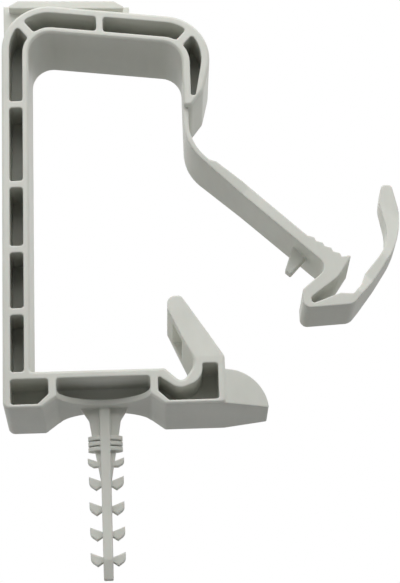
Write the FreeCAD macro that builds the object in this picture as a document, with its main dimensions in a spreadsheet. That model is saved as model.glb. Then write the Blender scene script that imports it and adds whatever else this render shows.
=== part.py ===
import FreeCAD, Part
import math
import os
import re
import Sketcher
from FreeCAD import Placement, Rotation, Vector

# Cable bundle holder, one moulding, in millimetres.
# The plug runs down the Z axis and the feet stand on Z = 0. X runs from the column
# towards the latch. Y is the depth of the channel section, with its web at Y = 0.

NODE = "cable_bundle_holder"

SIZES = [
    # channel section shared by the column, the beam and the base
    ("holder_depth", 20.4),
    ("web_thickness", 1.2),
    ("wall", 1.3),
    ("outer_wall", 1.45),
    ("inner_wall", 1.15),
    ("rib", 1.3),
    ("pocket_round", 0.6),
    ("edge_break", 0.4),
    ("fine_round", 0.3),
    ("soft_round", 0.8),
    # column
    ("column_face", 19.2),
    ("column_width", 5.25),
    ("column_lean", 0.55),
    ("rib_height_a", 19.3),
    ("rib_height_b", 31.9),
    ("rib_height_c", 45.2),
    ("rib_height_d", 61.8),
    # beam over the cable space
    ("crown_height", 81.55),
    ("beam_width", 5.75),
    ("beam_drop", 6.85),
    ("corner_round", 9.2),
    ("space_round", 4.3),
    ("beam_rib_place", 1.0),
    ("corner_rib", 1.6),
    ("corner_rib_angle", 46.0),
    # stub of the beam that carries the arm
    ("throat", 17.2),
    ("root_drop", 20.9),
    ("root_tip_width", 1.55),
    ("root_knee_width", 4.0),
    ("root_knee_rise", 3.15),
    ("root_flare", 14.0),
    ("root_wall", 1.5),
    ("root_floor_rise", 2.1),
    ("root_pocket_width", 0.95),
    ("root_pocket_flare", 11.0),
    # base: two feet and the bridge between them
    ("base_height", 7.25),
    ("shelf", 1.4),
    ("foot_inner", 11.75),
    ("foot_floor", 0.85),
    ("foot_wall", 0.75),
    ("foot_corner", 1.4),
    ("bridge_half", 9.0),
    ("bridge_rise", 2.05),
    ("bridge_wall", 1.15),
    ("bridge_waist", 6.0),
    ("base_rib", 1.45),
    # groove and catch at the open side
    ("groove_edge", 11.8),
    ("groove_run", 3.3),
    ("groove_depth", 3.05),
    ("groove_round", 1.3),
    ("catch_root_run", 2.65),
    ("catch_root_rise", 0.75),
    ("catch_root_round", 2.4),
    ("catch_nose_set", 0.9),
    ("catch_nose_face", 2.65),
    ("catch_top", 21.85),
    ("catch_top_width", 2.7),
    ("catch_width", 5.6),
    ("catch_face_rise", 2.05),
    ("catch_round", 1.2),
    ("catch_taper", 1.1),
    ("window_width", 13.6),
    ("window_drop", 4.85),
    ("window_height", 3.7),
    # rounded lobe beside the catch
    ("lobe_length", 8.3),
    ("lobe_height", 6.8),
    ("lobe_lean", 8.0),
    ("lobe_tip_depth", 11.0),
    # latch arm, measured along the arm and square to it from the hinge corner
    ("arm_angle", 43.1),
    ("hinge_drop", 7.6),
    ("hinge_round", 10.0),
    ("hinge_thickness", 0.9),
    ("hinge_length", 5.6),
    ("arm_step", 1.2),
    ("arm_shoulder", 1.55),
    ("arm_swell", 13.2),
    ("arm_thickness", 2.05),
    ("arm_length", 37.35),
    ("arm_root_set", 1.4),
    ("arm_mid_place", 15.0),
    ("arm_mid_depth", 14.2),
    ("arm_tip_depth", 13.8),
    # hook at the end of the arm
    ("hook_round", 2.0),
    ("hook_drop", 6.97),
    ("hook_back", 0.83),
    ("hook_chin", 2.57),
    ("hook_chin_drop", 2.72),
    ("hook_sole", 6.8),
    ("hook_sole_rise", 7.1),
    ("chin_round", 1.5),
    ("sole_round", 2.2),
    # slot between the hook and its lip, placed from the end of the arm
    ("slot_mouth", 7.15),
    ("slot_mouth_drop", 0.93),
    ("slot_ledge", 5.12),
    ("slot_ledge_drop", 2.57),
    ("slot_end", 1.93),
    ("slot_end_drop", 7.45),
    ("slot_gap", 1.35),
    ("lip_knee", 2.67),
    ("lip_knee_drop", 0.41),
    ("lip_place", 1.85),
    ("lip_height", 4.8),
    ("ramp_back", 7.25),
    ("ramp_end", 0.55),
    ("ramp_height", 3.2),
    ("tooth_height", 0.42),
    # finger lever, placed from the end of the arm
    ("lever_knee", 8.15),
    ("lever_knee_height", 4.5),
    ("lever_bow", 6.6),
    ("lever_bow_rise", 9.4),
    ("lever_pad", 2.3),
    ("lever_pad_rise", 5.1),
    ("lever_tip_back", 2.35),
    ("lever_tip_rise", 3.3),
    ("lever_tip_width", 2.05),
    ("lever_belly_back", 1.7),
    ("lever_belly_drop", 4.6),
    ("lever_waist", 5.4),
    ("lever_waist_drop", 5.0),
    ("lever_foot", 6.0),
    ("lever_foot_height", 3.9),
    ("lever_heel", 7.0),
    ("lever_heel_height", 1.5),
    ("lever_back_round", 15.5),
    ("lever_belly_round", 4.0),
    ("lever_waist_round", 9.0),
    ("lever_taper_start", 0.2),
    ("lever_base_depth", 10.4),
    ("lever_mid_rise", 5.6),
    ("lever_mid_depth", 9.8),
    ("lever_pad_depth", 6.0),
    ("lever_tip_depth", 5.0),
    # stop under the arm
    ("stop_back", 8.95),
    ("stop_width", 3.4),
    ("stop_height", 4.6),
    ("stop_tip", 1.4),
    ("stop_depth", 2.4),
    # pad for a hammer, over the beam
    ("strike_left", 18.05),
    ("strike_right", 6.57),
    ("strike_rise", 3.35),
    ("strike_drop", 1.75),
    ("strike_thickness", 1.6),
    ("strike_bevel", 2.6),
    ("strike_depth", 8.0),
    ("strike_web", 2.7),
    ("strike_web_reach", 0.4),
    # plug
    ("stem_top_width", 1.95),
    ("stem_tip_width", 1.85),
    ("stem_depth", 3.4),
    ("stem_tip_depth", 1.2),
    ("stem_wedge", 3.7),
    ("plug_length", 31.6),
    ("wing_half", 3.05),
    ("wing_flare", 4.9),
    ("wing_knee", 2.6),
    ("wing_knee_drop", 3.2),
    ("wing_length", 12.8),
    ("wing_thickness", 1.1),
    ("collar_width", 6.66),
    ("collar_depth", 3.2),
    ("collar_thickness", 0.8),
    ("collar_first", 3.95),
    ("collar_pitch", 1.07),
    ("barb_width", 6.7),
    ("barb_height", 2.6),
    ("barb_tail", 3.95),
    ("barb_neck_drop", 1.1),
    ("barb_neck", 0.55),
    ("barb_thickness", 1.2),
    ("barb_first", 11.45),
    ("barb_pitch", 4.95),
    ("lead_barb_width", 7.0),
    ("lead_barb_height", 1.75),
    ("lead_barb_place", 7.8),
]

COLLARS = 3
BARBS = 4
RAMP_TEETH = 4

doc = FreeCAD.newDocument("holder")
sheet = doc.addObject("Spreadsheet::Sheet", "Sizes")
for row, (name, size) in enumerate(SIZES, start=1):
    sheet.set("A%d" % row, name)
    sheet.set("B%d" % row, str(size))
    sheet.setAlias("B%d" % row, name)
doc.recompute()

ALIASES = re.compile(r"\b(%s)\b" % "|".join(name for name, size in SIZES))


def bound(text):
    """Turn a formula of size names into one that reads the sheet."""
    return ALIASES.sub(r"Sizes.\1", str(text))


def number(text):
    return float(sheet.evalExpression(bound(text)))


body = doc.addObject("PartDesign::Body", NODE)
body.Label = NODE


def origin(role):
    return [item for item in body.Origin.OriginFeatures if item.Role == role][0]


def mirrored(corners):
    """The same outline on the other side of the sketch's upright axis."""
    return [("-(%s)" % x, z, r) for x, z, r in reversed(corners)]


def rounded_loop(sketch, corners, ties, sized):
    """Draw a closed outline from (across, up, round) formulas.

    ties collects the constraints that hold the outline together, sized collects those
    that carry a formula.
    """
    count = len(corners)
    points = [Vector(number(x), number(z), 0) for x, z, r in corners]
    rounds = [number(r) for x, z, r in corners]
    arrive, leave, centres, bends = [], [], [], []
    for i in range(count):
        back = (points[i - 1] - points[i]).normalize()
        ahead = (points[(i + 1) % count] - points[i]).normalize()
        half = back.getAngle(ahead) / 2
        reach = rounds[i] / math.tan(half)
        arrive.append(points[i] + back * reach)
        leave.append(points[i] + ahead * reach)
        middle = (back + ahead).normalize()
        centres.append(points[i] + middle * (rounds[i] / math.sin(half)))
        bends.append(back.cross(ahead).z < 0)
    lines = []
    for i in range(count):
        segment = Part.LineSegment(leave[i], arrive[(i + 1) % count])
        lines.append(sketch.addGeometry(segment, False))
    for i, (x, z, r) in enumerate(corners):
        into, out = lines[i - 1], lines[i]
        corner = out
        if rounds[i] > 0:
            first, last = (arrive[i], leave[i]) if bends[i] else (leave[i], arrive[i])
            start = math.atan2(first.y - centres[i].y, first.x - centres[i].x)
            end = math.atan2(last.y - centres[i].y, last.x - centres[i].x)
            circle = Part.Circle(centres[i], Vector(0, 0, 1), rounds[i])
            arc = sketch.addGeometry(Part.ArcOfCircle(circle, start, end), False)
            corner = sketch.addGeometry(Part.Point(points[i]), True)
            at_start, at_end = (1, 2) if bends[i] else (2, 1)
            ties.append(Sketcher.Constraint("Tangent", into, 2, arc, at_start))
            ties.append(Sketcher.Constraint("Tangent", arc, at_end, out, 1))
            ties.append(Sketcher.Constraint("PointOnObject", corner, 1, into))
            ties.append(Sketcher.Constraint("PointOnObject", corner, 1, out))
            sized.append((Sketcher.Constraint("Radius", arc, rounds[i]), r))
        else:
            ties.append(Sketcher.Constraint("Coincident", into, 2, out, 1))
        sized.append((Sketcher.Constraint("DistanceX", -1, 1, corner, 1, points[i].x), x))
        sized.append((Sketcher.Constraint("DistanceY", -1, 1, corner, 1, points[i].y), z))


def tie(sketch, ties, sized):
    """Add the constraints of a sketch in one go and bind the sized ones to the sheet."""
    sketch.addConstraint(ties + [constraint for constraint, formula in sized])
    for index, (constraint, formula) in enumerate(sized, start=len(ties)):
        sketch.setExpression("Constraints[%d]" % index, bound(formula))


def drawing(name, role, loops, base=("0", "0", "0"), axis=(0, 0, 1), angle="0"):
    """Sketch of closed outlines on an origin plane, moved by base and turned about axis."""
    sketch = body.newObject("Sketcher::SketchObject", name)
    sketch.AttachmentSupport = [(origin(role), "")]
    sketch.MapMode = "FlatFace"
    shift = Vector(*[number(part) for part in base])
    sketch.AttachmentOffset = Placement(shift, Rotation(Vector(*axis), number(angle)))
    for letter, part in zip("xyz", base):
        if part != "0":
            sketch.setExpression("AttachmentOffset.Base." + letter, bound(part))
    if angle != "0":
        sketch.setExpression("AttachmentOffset.Rotation.Angle", bound(angle))
    ties, sized = [], []
    for corners in loops:
        rounded_loop(sketch, corners, ties, sized)
    tie(sketch, ties, sized)
    doc.recompute()
    return sketch


def settle(feature):
    """Recompute and stop at once if a feature or the solid so far is not sound."""
    doc.recompute()
    if "Invalid" in feature.State or "Error" in feature.State or feature.Shape.isNull():
        raise RuntimeError("%s did not build: %s" % (feature.Name, feature.State))
    return feature


def pad(name, sketch, depth, merged=False):
    """Pad to both sides of the sketch. merged joins the faces that lie in one plane."""
    feature = body.newObject("PartDesign::Pad", name)
    feature.Profile = sketch
    feature.SideType = "Symmetric"
    feature.Refine = merged
    feature.setExpression("Length", bound(depth))
    return settle(feature)


def cut(name, sketch, kind, length=None, backwards=False, side="One side"):
    before = body.Tip.Shape.Volume
    feature = body.newObject("PartDesign::Pocket", name)
    feature.Profile = sketch
    feature.SideType = side
    feature.Type = kind
    feature.Refine = False
    feature.Reversed = backwards
    if length:
        feature.setExpression("Length", bound(length))
    settle(feature)
    if feature.Shape.Volume > before - 0.01:
        raise RuntimeError("%s takes nothing away" % name)
    return feature


def row_of(name, original, count, pitch):
    """Repeat a feature down the plug."""
    feature = body.newObject("PartDesign::LinearPattern", name)
    feature.Originals = [original]
    feature.Direction = (origin("Z_Axis"), [""])
    feature.Reversed = True
    feature.setExpression("Length", bound("%s * %d" % (pitch, count - 1)))
    feature.Occurrences = count
    feature.Refine = False
    body.Tip = feature
    return settle(feature)


def box_loop(left, right, low, high, r="0"):
    return [(left, low, r), (right, low, r), (right, high, r), (left, high, r)]


LEAN = "tan(column_lean)"
SLOPE = "tan(beam_drop)"
ROOT_TIP = "(crown_height - root_drop)"
HINGE_HEIGHT = "(%s - hinge_drop)" % ROOT_TIP


def column_x(inset, z):
    """Place across of a line set in from the column's outer face, at a height."""
    return "(-column_face + %s + %s * (%s))" % (inset, LEAN, z)


def beam_z(sink, x):
    """Height of a line set down from the crown, at a place across."""
    return "(crown_height - %s - %s * (%s))" % (sink, SLOPE, x)


def left_corner(inset, sink):
    x = "((%s * (crown_height - %s) - column_face + %s) / (1 + %s * %s))" % (
        LEAN, sink, inset, LEAN, SLOPE)
    return x, beam_z(sink, x)


def right_corner(foot_x, foot_z, flare, sink):
    x = "((%s + tan(%s) * (crown_height - %s - %s)) / (1 + tan(%s) * %s))" % (
        foot_x, flare, sink, foot_z, flare, SLOPE)
    return x, beam_z(sink, x)


# Latch arm. Its sketch lies along the arm, with the hinge corner as its zero.
HINGE = ("throat", HINGE_HEIGHT, "0")
RISE = "(hinge_drop + root_wall)"
ARM_ROOT_DEPTH = "(holder_depth - 2 * arm_root_set)"


def up_the_root(off):
    """Point at the top of the hinge, off the inner face, in the arm's own axes."""
    return ("(-%s * sin(arm_angle) + (%s) * cos(arm_angle))" % (RISE, off),
            "(%s * cos(arm_angle) + (%s) * sin(arm_angle))" % (RISE, off))


def hinge_bend(off):
    """Corner of the hinge's upper face, off both straight stretches by the same amount."""
    return ("((%s) * tan(45 - arm_angle / 2))" % off, off)


def past_end(distance):
    """Place along the arm, counted from its end."""
    return "arm_length + " + distance


LEVER_BOW_HEIGHT = "(lever_knee_height + lever_bow_rise)"
LEVER_PAD_HEIGHT = "(%s + lever_pad_rise)" % LEVER_BOW_HEIGHT
LEVER_HEIGHT = "(%s + lever_tip_rise)" % LEVER_PAD_HEIGHT
LEVER_BELLY_HEIGHT = "(%s - lever_belly_drop)" % LEVER_HEIGHT
LEVER_WAIST_HEIGHT = "(%s - lever_waist_drop)" % LEVER_BELLY_HEIGHT
LEVER_TIP = "arm_length - lever_tip_back"
RAMP_START = "(arm_length - ramp_back)"
arm_outline = [
    up_the_root("0") + ("0",),
    ("0", "0", "hinge_round"),
    ("arm_length", "0", "hook_round"),
    ("arm_length - hook_back", "-hook_drop", "soft_round"),
    ("arm_length - hook_back + hook_chin", "-hook_drop - hook_chin_drop", "chin_round"),
    ("arm_length - hook_back + hook_chin + hook_sole",
     "-hook_drop - hook_chin_drop + hook_sole_rise", "sole_round"),
    (past_end("lever_knee"), "lever_knee_height", "lever_back_round"),
    (past_end("lever_bow"), LEVER_BOW_HEIGHT, "lever_back_round"),
    (past_end("lever_pad"), LEVER_PAD_HEIGHT, "lever_back_round / 2"),
    (LEVER_TIP, LEVER_HEIGHT, "lever_tip_width * 0.4"),
    (LEVER_TIP + " - lever_tip_width * cos(arm_angle)",
     LEVER_HEIGHT + " - lever_tip_width * sin(arm_angle)", "lever_tip_width * 0.4"),
    ("arm_length - lever_belly_back", LEVER_BELLY_HEIGHT, "lever_belly_round"),
    (past_end("lever_waist"), LEVER_WAIST_HEIGHT, "lever_waist_round"),
    (past_end("lever_foot"), "lever_foot_height", "soft_round"),
    (past_end("lever_heel"), "lever_heel_height", "soft_round"),
    (past_end("slot_mouth"), "-slot_mouth_drop", "soft_round"),
    (past_end("slot_ledge"), "-slot_ledge_drop", "slot_gap * 0.4"),
    (past_end("slot_end + slot_gap * 0.4"), "-slot_end_drop - slot_gap * 0.28", "slot_gap * 0.45"),
    (past_end("slot_end - slot_gap * 0.4"), "-slot_end_drop + slot_gap * 0.28", "slot_gap * 0.45"),
    (past_end("lip_knee"), "-lip_knee_drop", "slot_gap * 3"),
    (past_end("lip_place"), "lip_height", "fine_round"),
]
# The ramp up to the lip is stepped: every tooth rises over six tenths of its pitch.
for tooth in reversed(range(RAMP_TEETH)):
    for share, lift in ((1.0, "0"), (0.6, "tooth_height")):
        part = "%g" % ((tooth + share) / RAMP_TEETH)
        along = RAMP_START + " + (ramp_end + ramp_back) * " + part
        over = "arm_thickness + (ramp_height - arm_thickness) * " + part + " + " + lift
        arm_outline.append((along, over, "0"))
arm_outline += [
    (RAMP_START, "arm_thickness", "soft_round"),
    ("arm_swell", "arm_thickness", "arm_thickness * 4"),
    ("hinge_length + arm_step", "arm_shoulder", "arm_step * 0.4"),
    ("hinge_length", "hinge_thickness", "arm_step * 0.4"),
    hinge_bend("hinge_thickness") + ("hinge_round - hinge_thickness",),
    up_the_root("hinge_thickness") + ("0",),
]
arm_sketch = drawing("arm_sketch", "XZ_Plane", [arm_outline], HINGE, (0, 0, 1), "-arm_angle")
pad("arm", arm_sketch, ARM_ROOT_DEPTH)


# The arm gets narrower towards the hook: a wedge comes off each side.
OUTSIDE = "(holder_depth / 2 + 1)"
arm_side = [
    ("0", "-%s / 2" % ARM_ROOT_DEPTH, "0"),
    ("arm_mid_place", "-arm_mid_depth / 2", "0"),
    ("arm_length", "-arm_tip_depth / 2", "0"),
    ("arm_length + 12", "-arm_tip_depth / 2", "0"),
    ("arm_length + 12", "-" + OUTSIDE, "0"),
    ("0", "-" + OUTSIDE, "0"),
]
arm_sides = [arm_side, [(x, "-(%s)" % y, r) for x, y, r in reversed(arm_side)]]
arm_side_sketch = drawing("arm_side_sketch", "XY_Plane", arm_sides,
                          ("throat", "0", HINGE_HEIGHT), (0, 1, 0), "arm_angle")
cut("arm_sides", arm_side_sketch, "ThroughAll", side="Symmetric")

# The lever gets narrower upwards. The first cut starts past the lip and shapes the lever's
# root, the second starts over the lip and shapes the rest up to the tip.
def lever_cut(name, start, side):
    place = ("0", HINGE_HEIGHT + " - (%s) * sin(arm_angle)" % start,
             "throat + (%s) * cos(arm_angle)" % start)
    sketch = drawing(name + "_sketch", "YZ_Plane", [side, mirrored(side)], place,
                     (1, 0, 0), "arm_angle")
    return cut(name, sketch, "ThroughAll", backwards=True)


LEVER_MID_HEIGHT = "(lever_foot_height + lever_mid_rise)"
OVER_THE_TIP = "(%s + soft_round)" % LEVER_HEIGHT
lever_cut("lever_root_sides", past_end("(lip_place + slot_mouth) / 2"), [
    ("-arm_tip_depth / 2", "lever_taper_start", "0"),
    ("-lever_base_depth / 2", "lever_foot_height", "0"),
    ("-lever_mid_depth / 2", LEVER_MID_HEIGHT, "0"),
    ("-" + OUTSIDE, LEVER_MID_HEIGHT, "0"),
    ("-" + OUTSIDE, "lever_taper_start", "0"),
])
lever_cut("lever_sides", RAMP_START, [
    ("-lever_mid_depth / 2", LEVER_MID_HEIGHT, "0"),
    ("-lever_pad_depth / 2", LEVER_BELLY_HEIGHT, "lever_back_round / 2"),
    ("-lever_tip_depth / 2", OVER_THE_TIP, "0"),
    ("-" + OUTSIDE, OVER_THE_TIP, "0"),
    ("-" + OUTSIDE, LEVER_MID_HEIGHT, "0"),
])

# Stop under the arm that keeps the cables off the hook.
STOP_START = "(arm_length - stop_back)"
STOP_END = "(%s + stop_width)" % STOP_START
stop_outline = [
    (STOP_START, "arm_thickness / 2", "0"),
    (STOP_END, "arm_thickness / 2", "0"),
    (STOP_END, "-stop_height", "fine_round"),
    (STOP_END + " - stop_tip", "-stop_height", "fine_round"),
    (STOP_START, "0", "0"),
]
stop_sketch = drawing("stop_sketch", "XZ_Plane", [stop_outline], HINGE, (0, 0, 1), "-arm_angle")
pad("stop", stop_sketch, "stop_depth")

# Frame: column, beam, the stub that holds the arm, base and catch as one outline.
STUB_KNEE = ("(throat + root_knee_width)", "(%s + root_knee_rise)" % ROOT_TIP)
GROOVE_PLACE = "(groove_edge + groove_run)"
GROOVE_FLOOR = "(base_height - groove_depth)"
CATCH_ROOT = "(%s + catch_root_run)" % GROOVE_PLACE
CATCH_NOSE = "(groove_edge + catch_nose_set)"
CATCH_FACE = "(%s + catch_width)" % CATCH_ROOT
CATCH_FACE_HEIGHT = "(base_height + catch_face_rise)"
frame_outline = [
    ("-column_face", "0", "foot_corner"),
    ("-foot_inner", "0", "soft_round"),
    ("-bridge_half", "bridge_rise", "soft_round"),
    ("bridge_half", "bridge_rise", "soft_round"),
    ("foot_inner", "0", "soft_round"),
    (CATCH_FACE, "0", "soft_round"),
    (CATCH_FACE, CATCH_FACE_HEIGHT, "catch_round"),
    (CATCH_NOSE + " + catch_top_width", "catch_top", "catch_round * 0.75"),
    (CATCH_NOSE, "catch_top", "catch_round * 1.25"),
    (CATCH_NOSE, "catch_top - catch_nose_face", "catch_round * 0.5"),
    (CATCH_ROOT, "base_height + catch_root_rise", "catch_root_round"),
    (GROOVE_PLACE, GROOVE_FLOOR, "groove_round"),
    ("groove_edge", "base_height", "soft_round"),
    (column_x("column_width", "base_height"), "base_height", "pocket_round"),
    left_corner("column_width", "beam_width") + ("space_round",),
    ("throat", beam_z("beam_width", "throat"), "space_round"),
    ("throat", ROOT_TIP, "root_tip_width * 0.45"),
    ("throat + root_tip_width", ROOT_TIP, "root_tip_width * 0.75"),
    STUB_KNEE + ("soft_round * 2",),
    right_corner(*STUB_KNEE, "root_flare", "0") + ("corner_round",),
    left_corner("0", "0") + ("corner_round",),
]
frame_sketch = drawing("frame_sketch", "XZ_Plane", [frame_outline])
pad("frame", frame_sketch, "holder_depth")


def ease(kind, name, measure, size, chosen):
    """Chamfer or fillet the edges of the solid so far that the test picks."""
    solid = body.Tip
    edges = [edge for edge in enumerate(solid.Shape.Edges, start=1) if chosen(solid.Shape, edge[1])]
    feature = body.newObject("PartDesign::" + kind, name)
    feature.Base = (solid, ["Edge%d" % place for place, edge in edges])
    feature.setExpression(measure, bound(size))
    return settle(feature)


def facings(shape, edge):
    """Outward normals of the two faces that meet along an edge, at the edge's middle."""
    middle = edge.valueAt((edge.FirstParameter + edge.LastParameter) / 2)
    faces = shape.ancestorsOfType(edge, Part.Face)
    return [face.normalAt(*face.Surface.parameter(middle)) for face in faces]


def rims_an_end(shape, edge):
    """True along the rim of the frame's front and back."""
    outermost = number("holder_depth / 2")
    return all(abs(abs(corner.Point.y) - outermost) < 1e-4 for corner in edge.Vertexes)


ease("Chamfer", "frame_rim", "Size", "edge_break", rims_an_end)

# The catch gets thinner towards its top: a wedge comes off its front and its back.
catch_side = [
    ("-holder_depth / 2", CATCH_FACE_HEIGHT, "0"),
    ("-" + OUTSIDE, CATCH_FACE_HEIGHT, "0"),
    ("-" + OUTSIDE, "catch_top", "0"),
    ("catch_taper - holder_depth / 2", "catch_top", "0"),
]
catch_side_sketch = drawing("catch_side_sketch", "YZ_Plane", [catch_side, mirrored(catch_side)],
                            ("0", "0", "groove_edge"))
cut("catch_sides", catch_side_sketch, "Length", CATCH_FACE + " - groove_edge", backwards=True)

# Lobe beside the catch, narrower towards its end.
LOBE_END = "(%s + lobe_length)" % CATCH_FACE
LOBE_ROOT = "(%s - wall)" % CATCH_FACE
LOBE_ROOT_DEPTH = "(holder_depth - 2 * edge_break)"
lobe_outline = [
    (LOBE_ROOT, "0", "0"),
    (LOBE_END, "0", "fine_round"),
    (LOBE_END + " - tan(lobe_lean) * lobe_height", "lobe_height", "lobe_height * 1.07"),
    (LOBE_ROOT, "lobe_height", "0"),
]
lobe_sketch = drawing("lobe_sketch", "XZ_Plane", [lobe_outline])
pad("lobe", lobe_sketch, LOBE_ROOT_DEPTH)
lobe_side = [
    (CATCH_FACE, "-%s / 2" % LOBE_ROOT_DEPTH, "0"),
    (LOBE_END, "-lobe_tip_depth / 2", "0"),
    (LOBE_END + " + 1", "-lobe_tip_depth / 2", "0"),
    (LOBE_END + " + 1", "-" + OUTSIDE, "0"),
    (CATCH_FACE, "-" + OUTSIDE, "0"),
]
lobe_sides = [lobe_side, [(x, "-(%s)" % y, r) for x, y, r in reversed(lobe_side)]]
lobe_side_sketch = drawing("lobe_side_sketch", "XY_Plane", lobe_sides)
cut("lobe_sides", lobe_side_sketch, "Length", "lobe_height + 1", backwards=True)

# Plug: a flat stem with two wings, collars above and barbs below.
ROOTED = "(bridge_rise + bridge_wall / 2)"
stem_outline = [
    ("-stem_tip_width / 2", "-plug_length", "fine_round"),
    ("stem_tip_width / 2", "-plug_length", "fine_round"),
    ("stem_top_width / 2", ROOTED, "0"),
    ("-stem_top_width / 2", ROOTED, "0"),
]
pad("stem", drawing("stem_sketch", "XZ_Plane", [stem_outline]), "stem_depth")
wedge = [
    ("-stem_depth / 2", "-plug_length + stem_wedge", "0"),
    ("-stem_tip_depth / 2", "-plug_length", "0"),
    ("-stem_tip_depth / 2", "-plug_length - 1", "0"),
    ("-stem_depth", "-plug_length - 1", "0"),
    ("-stem_depth", "-plug_length + stem_wedge", "0"),
]
wedge_sketch = drawing("wedge_sketch", "YZ_Plane", [wedge, mirrored(wedge)])
cut("wedge", wedge_sketch, "ThroughAll", side="Symmetric")
wing_outline = [
    ("-stem_tip_width / 2", "-wing_length", "0"),
    ("stem_tip_width / 2", "-wing_length", "0"),
    ("wing_knee", "-wing_knee_drop", "wing_knee"),
    ("wing_half", "-fine_round", "soft_round * 1.5"),
    ("wing_flare", ROOTED, "0"),
    ("-wing_flare", ROOTED, "0"),
    ("-wing_half", "-fine_round", "soft_round * 1.5"),
    ("-wing_knee", "-wing_knee_drop", "wing_knee"),
]
pad("wings", drawing("wing_sketch", "XZ_Plane", [wing_outline]), "wing_thickness")


def barb(top, width, height, tail):
    """One barb right of the stem: a thin neck, a sharp shoulder and a rounded lead-in."""
    return [
        ("stem_tip_width * 0.3", "-%s - barb_neck_drop - barb_neck" % top, "0"),
        ("%s / 2" % tail, "-%s - %s" % (top, height), "0"),
        ("%s / 2" % width, "-%s - %s * 0.62" % (top, height), "%s * 0.5" % height),
        ("%s / 2" % width, "-%s" % top, "0"),
        ("stem_tip_width * 0.3", "-%s - barb_neck_drop" % top, "0"),
    ]


lead = barb("lead_barb_place", "lead_barb_width", "lead_barb_height", "barb_tail * 1.2")
pad("lead_barbs", drawing("lead_barb_sketch", "XZ_Plane", [lead, mirrored(lead)]), "barb_thickness")
pair = barb("barb_first", "barb_width", "barb_height", "barb_tail")
barbs = pad("barbs", drawing("barb_sketch", "XZ_Plane", [pair, mirrored(pair)]), "barb_thickness")
row_of("barb_row", barbs, BARBS, "barb_pitch")

# Collars that fill the mouth of the hole.
collar_sketch = drawing("collar_sketch", "XY_Plane", [], ("0", "0", "-collar_first"))
ellipse = Part.Ellipse(Vector(0, 0, 0), number("collar_width / 2"), number("collar_depth / 2"))
oval = collar_sketch.addGeometry(ellipse, False)
collar_sketch.exposeInternalGeometry(oval)
held = len(collar_sketch.Constraints)
collar_sketch.addConstraint([
    Sketcher.Constraint("Coincident", oval, 3, -1, 1),
    Sketcher.Constraint("Horizontal", oval + 1),
    Sketcher.Constraint("Distance", oval + 1, number("collar_width")),
    Sketcher.Constraint("Distance", oval + 2, number("collar_depth")),
])
collar_sketch.setExpression("Constraints[%d]" % (held + 2), bound("collar_width"))
collar_sketch.setExpression("Constraints[%d]" % (held + 3), bound("collar_depth"))
collar = pad("collar", collar_sketch, "collar_thickness")
row_of("collar_row", collar, COLLARS, "collar_pitch")

# Strike pad over the beam, on a web of its own.
STRIKE = "tan(strike_drop)"


def strike_z(over, x):
    return "(crown_height + strike_rise + %s - %s * (%s + strike_left))" % (over, STRIKE, x)


strike_outline = [
    ("-strike_left", strike_z("0", "-strike_left"), "fine_round"),
    ("strike_right", strike_z("0", "strike_right"), "fine_round"),
    ("strike_right - strike_bevel",
     strike_z("strike_thickness", "strike_right - strike_bevel"), "fine_round"),
    ("-strike_left + strike_bevel",
     strike_z("strike_thickness", "-strike_left + strike_bevel"), "fine_round"),
]
strike_sketch = drawing("strike_sketch", "XZ_Plane", [strike_outline])
strike_low = "(crown_height - corner_round)"
web_left = "(-strike_left - strike_web_reach)"
web_right = "(strike_right + strike_web_reach)"
strike_web_outline = [
    (web_left, strike_low, "0"),
    (column_x("column_width / 2", strike_low), strike_low, "0"),
    left_corner("column_width / 2", "beam_width / 2") + ("space_round",),
    (web_right, beam_z("beam_width / 2", web_right), "0"),
    (web_right, strike_z("strike_thickness * 0.9", web_right), "0"),
    (web_left, strike_z("strike_thickness * 0.9", web_left), "0"),
]
strike_web_sketch = drawing("strike_web_sketch", "XZ_Plane", [strike_web_outline])
pad("strike_web_pad", strike_web_sketch, "strike_web")
pad("strike_plate", strike_sketch, "strike_depth")

# Pockets on both sides of the web. One runs from the column round into the stub,
# the others lie in the left foot, the bridge and the right foot.
shelf_z = "(base_height - shelf)"
ROOT_FLOOR = "(%s + root_floor_rise)" % ROOT_TIP
stub_wall = "(throat + root_wall)"
stub_far = "(throat + root_wall + root_pocket_width)"
near_wall = "(column_width - inner_wall)"
under_wall = "(beam_width - inner_wall)"
channel = [
    (column_x("outer_wall", "base_height"), "base_height", "pocket_round"),
    (column_x(near_wall, "base_height"), "base_height", "pocket_round"),
    left_corner(near_wall, under_wall) + ("space_round + inner_wall",),
    (stub_wall, beam_z(under_wall, stub_wall), "space_round + inner_wall"),
    (stub_wall, ROOT_FLOOR, "root_pocket_width * 0.4"),
    (stub_far, ROOT_FLOOR, "root_pocket_width * 0.4"),
    right_corner(stub_far, ROOT_FLOOR, "root_pocket_flare", "outer_wall") + ("corner_round - outer_wall",),
    left_corner("outer_wall", "outer_wall") + ("corner_round - outer_wall",),
]
rib_far = "(bridge_half + base_rib)"
left_foot = [
    ("-column_face + outer_wall", "foot_floor", "pocket_round"),
    ("-foot_inner - foot_wall", "foot_floor", "pocket_round"),
    ("-" + rib_far, "bridge_rise + foot_wall", "pocket_round * 0.6"),
    ("-" + rib_far, shelf_z, "pocket_round"),
    ("-column_face + outer_wall", shelf_z, "pocket_round"),
]
bridge = box_loop("-bridge_half", "bridge_half", "bridge_rise + bridge_wall", shelf_z,
                  "pocket_round")
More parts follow.
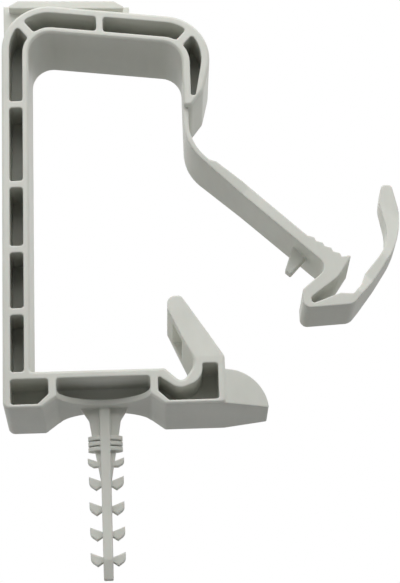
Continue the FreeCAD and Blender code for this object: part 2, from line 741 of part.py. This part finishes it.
right_foot = [
    (rib_far, "bridge_rise + foot_wall", "pocket_round * 0.6"),
    ("foot_inner + foot_wall", "foot_floor", "pocket_round"),
    (CATCH_FACE + " - wall", "foot_floor", "pocket_round"),
    (CATCH_FACE + " - wall", CATCH_FACE_HEIGHT + " - wall", "pocket_round"),
    (CATCH_ROOT + " + wall", CATCH_FACE_HEIGHT + " - wall", "pocket_round * 0.6"),
    (CATCH_ROOT + " + wall * 0.9", GROOVE_FLOOR + " + wall * 0.4", "groove_round * 2.6"),
    (GROOVE_PLACE + " - wall * 0.5", GROOVE_FLOOR + " - wall * 0.88", "groove_round * 2"),
    (rib_far, shelf_z, "pocket_round * 0.6"),
]
FRONT_OF_WEB = ("0", "0", "web_thickness / 2")
channel_sketch = drawing("channel_sketch", "XZ_Plane", [channel], FRONT_OF_WEB)
base_sketch = drawing("base_sketch", "XZ_Plane", [left_foot, bridge, right_foot], FRONT_OF_WEB)
pockets = [cut("channel_pocket", channel_sketch, "ThroughAll", backwards=True),
           cut("base_pockets", base_sketch, "ThroughAll", backwards=True)]
other_side = body.newObject("PartDesign::Mirrored", "other_side")
other_side.Originals = pockets
other_side.MirrorPlane = (origin("XZ_Plane"), [""])
other_side.Refine = False
body.Tip = other_side
settle(other_side)

# Ribs across the channel: four in the column, one in the beam, one in each corner.
ribs = []
for height in ("rib_height_a", "rib_height_b", "rib_height_c", "rib_height_d"):
    ribs.append(box_loop(column_x("wall / 2", height), column_x("column_width - wall / 2", height),
                         height + " - rib / 2", height + " + rib / 2"))
beam_rib_left = "(beam_rib_place - rib / 2)"
beam_rib_right = "(beam_rib_place + rib / 2)"
ribs.append([
    (beam_rib_left, beam_z("(beam_width - wall / 2)", beam_rib_left), "0"),
    (beam_rib_right, beam_z("(beam_width - wall / 2)", beam_rib_right), "0"),
    (beam_rib_right, beam_z("wall / 2", beam_rib_right), "0"),
    (beam_rib_left, beam_z("wall / 2", beam_rib_left), "0"),
])


def bend_centre(corner, first, second, radius):
    """Centre of the round in a corner, from the angles of its two sides seen from the corner."""
    open_angle = "((%s) - (%s))" % (second, first)
    mid_angle = "(((%s) + (%s)) / 2)" % (first, second)
    reach = "(%s) / sin(%s / 2)" % (radius, open_angle)
    return ("(%s + %s * cos(%s))" % (corner[0], reach, mid_angle),
            "(%s + %s * sin(%s))" % (corner[1], reach, mid_angle))


def corner_band(outer, inner, angle):
    """Strip from the round of the outer wall to that of the inner wall."""
    near = ["(%s + (space_round + wall / 2) * %s(%s))" % (at, wave, angle)
            for at, wave in zip(inner, ("cos", "sin"))]
    far = ["(%s + (corner_round - wall / 2) * %s(%s))" % (at, wave, angle)
           for at, wave in zip(outer, ("cos", "sin"))]
    aside = ["(corner_rib / 2 * -sin(%s))" % angle, "(corner_rib / 2 * cos(%s))" % angle]
    return [(near[0] + " - " + aside[0], near[1] + " - " + aside[1], "0"),
            (far[0] + " - " + aside[0], far[1] + " - " + aside[1], "0"),
            (far[0] + " + " + aside[0], far[1] + " + " + aside[1], "0"),
            (near[0] + " + " + aside[0], near[1] + " + " + aside[1], "0")]


ribs.append(corner_band(
    bend_centre(left_corner("0", "0"), "270 - column_lean", "360 - beam_drop", "corner_round"),
    bend_centre(left_corner("column_width", "beam_width"),
                "270 - column_lean", "360 - beam_drop", "space_round"),
    "180 - corner_rib_angle"))
ribs.append(corner_band(
    bend_centre(right_corner(*STUB_KNEE, "root_flare", "0"),
                "180 - beam_drop", "270 - root_flare", "corner_round"),
    bend_centre(("throat", beam_z("beam_width", "throat")),
                "180 - beam_drop", "270", "space_round"),
    "corner_rib_angle"))
rib_sketch = drawing("rib_sketch", "XZ_Plane", ribs)
pad("ribs", rib_sketch, "holder_depth", merged=True)


def joins_a_rib(shape, edge):
    """True for a sharp inner corner that runs from the web to the front or the back."""
    ends = [corner.Point for corner in edge.Vertexes]
    if len(ends) != 2 or (ends[0] - ends[1]).cross(Vector(0, 1, 0)).Length > 1e-4:
        return False
    reach = sorted(abs(end.y) for end in ends)
    if abs(reach[0] - number("web_thickness / 2")) + abs(reach[1] - number("holder_depth / 2")) > 1e-4:
        return False
    first, second = facings(shape, edge)
    return first.getAngle(second) > math.radians(30)


ease("Fillet", "rib_corners", "Radius", "pocket_round", joins_a_rib)

# The bridge is waisted in plan: an arc comes off its front and its back.
waist = drawing("waist_sketch", "XY_Plane", [])
bite = "((holder_depth - bridge_waist) / 2)"
waist_radius = "((bridge_half^2 + %s^2) / 2 / %s)" % (bite, bite)
ties, sized = [], []
for sign in (-1, 1):
    centre_y = "%d * (bridge_waist / 2 + %s)" % (sign, waist_radius)
    circle = Part.Circle(Vector(0, number(centre_y), 0), Vector(0, 0, 1), number(waist_radius))
    ring = waist.addGeometry(circle, False)
    ties.append(Sketcher.Constraint("PointOnObject", ring, 3, -2))
    sized.append((Sketcher.Constraint("Radius", ring, number(waist_radius)), waist_radius))
    sized.append((Sketcher.Constraint("DistanceY", -1, 1, ring, 3, number(centre_y)), centre_y))
tie(waist, ties, sized)
cut("waist", waist, "Length", "bridge_rise + bridge_wall + pocket_round", backwards=True)

# Window through the catch.
window_sketch = drawing("window_sketch", "YZ_Plane", [box_loop(
    "-window_width / 2", "window_width / 2", "catch_top - window_drop - window_height",
    "catch_top - window_drop", "fine_round")], ("0", "0", "groove_edge"))
cut("window", window_sketch, "Length", CATCH_FACE + " - groove_edge", backwards=True)

# Every object has to be sound, and the part one closed solid, before it is written.
for item in doc.Objects:
    if "Invalid" in item.State or "Error" in item.State:
        raise RuntimeError("%s is not sound: %s" % (item.Name, item.State))
part = body.Tip.Shape
if part.isNull() or not part.isValid() or len(part.Solids) != 1:
    raise RuntimeError("the part is not one valid solid")
print("%s: %.0f cubic mm, %.1f x %.1f x %.1f mm" % (
    NODE, part.Volume, part.BoundBox.XLength, part.BoundBox.YLength, part.BoundBox.ZLength))
os.makedirs("parts", exist_ok=True)
part.exportStep("parts/%s.step" % NODE)
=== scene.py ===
# %% [markdown]
# # A cable bundle holder, moulded in one piece
#
# This holder is pressed into a hole in a wall with its barbed plug, and a bundle of cables is
# laid in the space between its column and its latch arm. The whole thing is one injection
# moulding, so there is nothing to assemble here: the CAD model already has every wall, rib,
# barb and hook. What is left for Blender is what the eye needs to believe in it: the plastic,
# the light and the point of view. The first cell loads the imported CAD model, which from then
# on is never moved or changed.

# %% Load the moulding
import math

import bpy
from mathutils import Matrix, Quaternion, Vector


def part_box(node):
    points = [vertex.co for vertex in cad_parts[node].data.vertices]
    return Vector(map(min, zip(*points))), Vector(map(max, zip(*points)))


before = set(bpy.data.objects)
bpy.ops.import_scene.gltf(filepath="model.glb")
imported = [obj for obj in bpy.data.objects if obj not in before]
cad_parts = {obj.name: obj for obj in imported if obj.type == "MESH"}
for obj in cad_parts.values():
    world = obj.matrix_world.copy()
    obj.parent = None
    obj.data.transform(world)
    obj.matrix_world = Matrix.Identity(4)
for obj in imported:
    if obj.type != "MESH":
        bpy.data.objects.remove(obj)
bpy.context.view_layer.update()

MM = 0.001

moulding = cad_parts["cable_bundle_holder"]
low, high = (Vector(corner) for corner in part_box("cable_bundle_holder"))
print("moulding of", len(moulding.data.polygons), "triangles,",
      "x".join("%.1f" % (side / MM) for side in high - low), "mm")

# %% [markdown]
# ## Two small helpers
#
# Colours are written the way a paint chart gives them, as sRGB hex values. Blender's shaders
# work with linear light, so one function does that conversion for every colour. A second
# function adds a node to a tree, sets its options and fills its inputs: a value is typed into
# the socket, and another node's output is linked to it. With these two, a material reads like
# a recipe from top to bottom.

# %% Colour and node helpers
def colour(hex_code):
    """sRGB hex text to the linear RGBA that shaders use."""
    channels = [int(hex_code[place:place + 2], 16) / 255 for place in (1, 3, 5)]
    linear = [c / 12.92 if c <= 0.04045 else ((c + 0.055) / 1.055) ** 2.4 for c in channels]
    return (*linear, 1.0)


def add(tree, kind, inputs, **options):
    """Add a node, set its options, then type a value into or link each named input."""
    node = tree.nodes.new(kind)
    for option, value in options.items():
        setattr(node, option, value)
    for socket, value in inputs.items():
        if isinstance(value, bpy.types.NodeSocket):
            tree.links.new(value, node.inputs[socket])
        else:
            node.inputs[socket].default_value = value
    return node


print("light grey in linear light:", [round(c, 3) for c in colour("#d4d5cd")[:3]])

# %% [markdown]
# ## The plastic
#
# The plastic is taken to be light grey polypropylene, a common choice for clips that have to
# bend. A mould for such parts is often spark eroded, which leaves a fine, even grain, so the
# plastic is satin and not glossy. Melt that cools at different speeds leaves faint clouds a
# centimetre or two across, lighter and darker by a few percent, and drawn-out flow lines where
# it was squeezed through a thin place. All three are noise here, with sizes in millimetres, so
# that nothing has to be unwrapped.
#
# Edges are never sharp: the mould rounds them by about half a millimetre, and they catch a thin
# line of light. The CAD has the rounds that shape the outline. A Bevel modifier could round the
# other edges, but it would change the CAD mesh, so a Bevel node softens their normals instead.
# The thin line of light is a painted highlight: a paler grey mixed into the colour where the
# softened normal turns away from the surface's own. A little light also goes into the plastic and
# comes out nearby, which takes the hardness out of the shadows in the thin walls.

# %% Light grey polypropylene, moulded in a spark eroded cavity
DARK_GREY = "#cccdc5"
LIGHT_GREY = "#d4d5cd"
# the pale grey of a painted highlight that stands for the line of light on rounded edges
EDGE_HIGHLIGHT_GREY = "#e6e7e1"
CLOUD_MM = 14.0
FLOW_MM = 1.6
FLOW_DRAWN = (1.0, 0.12, 0.35)    # flow lines run far through the depth and some way up
FLOW_DETAIL = 3.0                 # one layer of finer noise more than the node has by itself
FLOW_SHARE = 0.3
STREAK_RANGE = (0.35, 0.65)       # the middle of the noise, spread over the two greys
GRAIN_MM = 0.5                    # the real grain is near 0.08 mm, drawn coarser so that it shows
GRAIN_RANGE = (0.3, 0.7)          # the middle of the noise, spread over the roughness
SATIN = (0.44, 0.58)              # roughness of the smoothest and the roughest grain
EDGE_MM = 0.5
EDGE_SAMPLES = 8
# how far an edge must turn before the painted highlight starts, and how strong it gets
EDGE_TURN = (0.995, 0.8)          # cosines of the turn at which an edge starts to pale and is palest
EDGE_HIGHLIGHT_SHARE = 0.6
DIMPLE_MM = 0.05
DIMPLE_STRENGTH = 0.12
POLYPROPYLENE_IOR = 1.49
SCATTER_SHARE = 0.06
SCATTER_MM = 0.8


def moulded_polypropylene():
    """Clouded light grey with a painted highlight along the soft edges and a fine satin grain."""
    material = bpy.data.materials.new("light_grey_polypropylene_moulded")
    material.use_nodes = True
    tree = material.node_tree
    tree.nodes.clear()
    place = add(tree, "ShaderNodeTexCoord", {}).outputs["Object"]

    cloud = add(tree, "ShaderNodeTexNoise",
                {"Vector": place, "Scale": 1 / (CLOUD_MM * MM)})
    drawn = add(tree, "ShaderNodeMapping", {"Vector": place, "Scale": FLOW_DRAWN})
    flow = add(tree, "ShaderNodeTexNoise",
               {"Vector": drawn.outputs["Vector"], "Scale": 1 / (FLOW_MM * MM),
                "Detail": FLOW_DETAIL})
    grain = add(tree, "ShaderNodeTexNoise",
                {"Vector": place, "Scale": 1 / (GRAIN_MM * MM)})

    # Clouds and flow lines shift the grey by a few percent.
    streaks = add(tree, "ShaderNodeMix",
                  {"Factor": FLOW_SHARE, "A": cloud.outputs["Fac"], "B": flow.outputs["Fac"]},
                  data_type="FLOAT")
    tint = add(tree, "ShaderNodeMapRange",
               {"Value": streaks.outputs["Result"], "From Min": STREAK_RANGE[0],
                "From Max": STREAK_RANGE[1]})
    body = add(tree, "ShaderNodeMix", {"Factor": tint.outputs["Result"]}, data_type="RGBA")
    body.inputs["A"].default_value = colour(DARK_GREY)
    body.inputs["B"].default_value = colour(LIGHT_GREY)

    # Rounded edges: where the softened normal leaves the surface's own, the grey is mixed towards a
    # paler one, a painted highlight for the line of light that the edges catch.
    soft = add(tree, "ShaderNodeBevel", {"Radius": EDGE_MM * MM}, samples=EDGE_SAMPLES)
    own = add(tree, "ShaderNodeNewGeometry", {})
    facing = add(tree, "ShaderNodeVectorMath",
                 {0: soft.outputs["Normal"], 1: own.outputs["Normal"]}, operation="DOT_PRODUCT")
    edge = add(tree, "ShaderNodeMapRange",
               {"Value": facing.outputs["Value"], "From Min": EDGE_TURN[0],
                "From Max": EDGE_TURN[1], "To Min": 0.0, "To Max": EDGE_HIGHLIGHT_SHARE})
    painted_edge_highlight = add(tree, "ShaderNodeMix",
               {"Factor": edge.outputs["Result"], "A": body.outputs["Result"]}, data_type="RGBA")
    painted_edge_highlight.inputs["B"].default_value = colour(EDGE_HIGHLIGHT_GREY)

    # The grain breaks up the gloss and dimples the surface by a few microns.
    gloss = add(tree, "ShaderNodeMapRange",
                {"Value": grain.outputs["Fac"], "From Min": GRAIN_RANGE[0],
                 "From Max": GRAIN_RANGE[1], "To Min": SATIN[0], "To Max": SATIN[1]})
    dimples = add(tree, "ShaderNodeBump",
                  {"Height": grain.outputs["Fac"], "Strength": DIMPLE_STRENGTH,
                   "Distance": DIMPLE_MM * MM, "Normal": soft.outputs["Normal"]})
    surface = add(tree, "ShaderNodeBsdfPrincipled",
                  {"Base Color": painted_edge_highlight.outputs["Result"], "Roughness": gloss.outputs["Result"],
                   "Normal": dimples.outputs["Normal"], "IOR": POLYPROPYLENE_IOR,
                   "Subsurface Weight": SCATTER_SHARE, "Subsurface Scale": SCATTER_MM * MM})
    add(tree, "ShaderNodeOutputMaterial", {"Surface": surface.outputs["BSDF"]})
    return material


plastic = moulded_polypropylene()
for slot in moulding.material_slots:
    slot.material = plastic
print("material", plastic.name, "with", len(plastic.node_tree.nodes), "nodes on", moulding.name)

# %% [markdown]
# ## Floor
#
# Parts for a catalogue are often photographed over a light table: a sheet of opal acrylic, lit
# from below so that it stays pale right to the horizon and swallows hard shadows. A plain grey
# plane would be simpler, but seen from the side it ends in a hard dark line. The table lies well
# below the part, out of sight of a camera that looks up. It is stage, not part of the object, and
# it neither lights nor shades the plastic: the tent in the next cell stands for all the light
# that goes round the studio.

# %% Light table
FLOOR_DROP_MM = 450.0
FLOOR_SIDE_MM = 8000.0
FLOOR_GREY = "#a8a8a6"
FLOOR_GLOW = 0.7
FLOOR_ROUGHNESS = 0.9

floor_mesh = bpy.data.meshes.new("floor")
reach = FLOOR_SIDE_MM * MM / 2
height = -FLOOR_DROP_MM * MM
floor_mesh.from_pydata([(x, y, height) for x, y in ((-reach, -reach), (reach, -reach),
                                                    (reach, reach), (-reach, reach))],
                       [], [(0, 1, 2, 3)])
floor = bpy.data.objects.new("floor", floor_mesh)
bpy.context.scene.collection.objects.link(floor)
acrylic = bpy.data.materials.new("opal_acrylic_sheet_lit_from_below")
acrylic.use_nodes = True
sheet = acrylic.node_tree.nodes["Principled BSDF"].inputs
sheet["Base Color"].default_value = colour(FLOOR_GREY)
sheet["Roughness"].default_value = FLOOR_ROUGHNESS
sheet["Emission Color"].default_value = colour("#ffffff")
sheet["Emission Strength"].default_value = FLOOR_GLOW
floor_mesh.materials.append(acrylic)
floor.visible_diffuse = False
floor.visible_glossy = False
floor.visible_shadow = False
print("floor", FLOOR_DROP_MM, "mm under the feet")

# %% [markdown]
# ## Light tent
#
# This is a catalogue picture: the part is held up in a white light tent, and lamps shine through
# its walls. Such a tent can be built from glowing planes, but the world can do the same with
# less noise. Every direction gets a share of the six walls: the squared cosine towards each
# wall. The six squares add up to one, so walls of equal strength give perfectly even light, and
# each wall can be turned up or down by itself. Here the side walls are the bright ones. The
# front, where the camera stands, is nearly dark, which is why the pockets look deep. The camera
# sees none of this, only the plain white of a cut-out picture.

# %% Tent walls
TENT_WALLS = {
    "top": ((0, 0, 1), 0.3),
    "bottom": ((0, 0, -1), 0.15),
    "left": ((-1, 0, 0), 1.03),
    "right": ((1, 0, 0), 0.93),
    "front": ((0, -1, 0), 0.1),
    "back": ((0, 1, 0), 0.35),
}

world = bpy.data.worlds.new("light_tent")
bpy.context.scene.world = world
world.use_nodes = True
tent = world.node_tree
tent.nodes.clear()
direction = add(tent, "ShaderNodeTexCoord", {}).outputs["Generated"]
total = 0.0
for side, (towards, strength) in TENT_WALLS.items():
    cosine = add(tent, "ShaderNodeVectorMath", {0: direction, 1: towards},
                 operation="DOT_PRODUCT").outputs["Value"]
    ahead = add(tent, "ShaderNodeMath", {0: cosine, 1: 0.0}, operation="MAXIMUM").outputs["Value"]
    share = add(tent, "ShaderNodeMath", {0: ahead, 1: 2.0}, operation="POWER").outputs["Value"]
    total = add(tent, "ShaderNodeMath", {0: share, 1: strength, 2: total},
                operation="MULTIPLY_ADD").outputs["Value"]
glow = add(tent, "ShaderNodeBackground", {"Color": colour("#ffffff"), "Strength": total})
white = add(tent, "ShaderNodeBackground", {"Color": colour("#ffffff"), "Strength": 1.0})
seen = add(tent, "ShaderNodeLightPath", {}).outputs["Is Camera Ray"]
both = add(tent, "ShaderNodeMixShader",
           {"Fac": seen, 1: glow.outputs["Background"], 2: white.outputs["Background"]})
add(tent, "ShaderNodeOutputWorld", {"Surface": both.outputs["Shader"]})
bpy.context.scene.view_settings.view_transform = "Standard"
print("tent walls:", {side: strength for side, (towards, strength) in TENT_WALLS.items()})

# %% [markdown]
# ## Softboxes
#
# Two large softboxes hang above the part, one at the front and a weaker one at the back. Their
# light comes from high up, so it reaches down into the long pockets of the column but not into
# the flat ones of the base, and it leaves the undersides to the tent. A brighter front wall of
# the tent would be the other way, but it is so broad that it would light every pocket alike.

# %% Softboxes above the front and the back
SOFTBOX_SIDE_MM = 600.0
SOFTBOX_TARGET_MM = Vector((15.0, 0.0, 40.0))
SOFTBOXES = {
    "front_softbox": ((15.0, -330.0, 380.0), 2.5),
    "back_softbox": ((15.0, 330.0, 380.0), 1.1),
}

for name, (place, watts) in SOFTBOXES.items():
    box_light = bpy.data.lights.new(name, "AREA")
    box_light.shape = "SQUARE"
    box_light.size = SOFTBOX_SIDE_MM * MM
    box_light.energy = watts
    softbox = bpy.data.objects.new(name, box_light)
    bpy.context.scene.collection.objects.link(softbox)
    softbox.location = Vector(place) * MM
    softbox.rotation_mode = "QUATERNION"
    softbox.rotation_quaternion = (SOFTBOX_TARGET_MM - Vector(place)).to_track_quat("-Z", "Y")
    print(name, "of", SOFTBOX_SIDE_MM, "mm at", watts, "W")

# %% [markdown]
# ## Camera
#
# The picture fits a long lens about half a metre away, a little below the part and tilted by two
# degrees. A camera can be set by eye, but how much of the undersides shows depends on its distance
# and height, so it was fitted to the front and back edges of the base and the beam. It aims at a
# point in the middle plane of the part. Blender measures the lens against a 36 mm sensor along the
# picture's longer side.

# %% Camera
CAMERA_PLACE_MM = Vector((7.7, -487.9, -122.0))
CAMERA_TARGET_MM = Vector((19.33, 0.0, 25.31))
CAMERA_TILT = math.radians(-2.08)
CAMERA_LENS_MM = 159.9
SENSOR_MM = 36.0

lens = bpy.data.cameras.new("camera")
lens.lens = CAMERA_LENS_MM
lens.sensor_width = SENSOR_MM
camera = bpy.data.objects.new("camera", lens)
bpy.context.scene.collection.objects.link(camera)
camera.location = CAMERA_PLACE_MM * MM
sight = (CAMERA_TARGET_MM - CAMERA_PLACE_MM).to_track_quat("-Z", "Y")
camera.rotation_mode = "QUATERNION"
camera.rotation_quaternion = sight @ Quaternion((0, 0, 1), CAMERA_TILT)
bpy.context.scene.camera = camera
print("camera", round((CAMERA_TARGET_MM - CAMERA_PLACE_MM).length), "mm from its target")
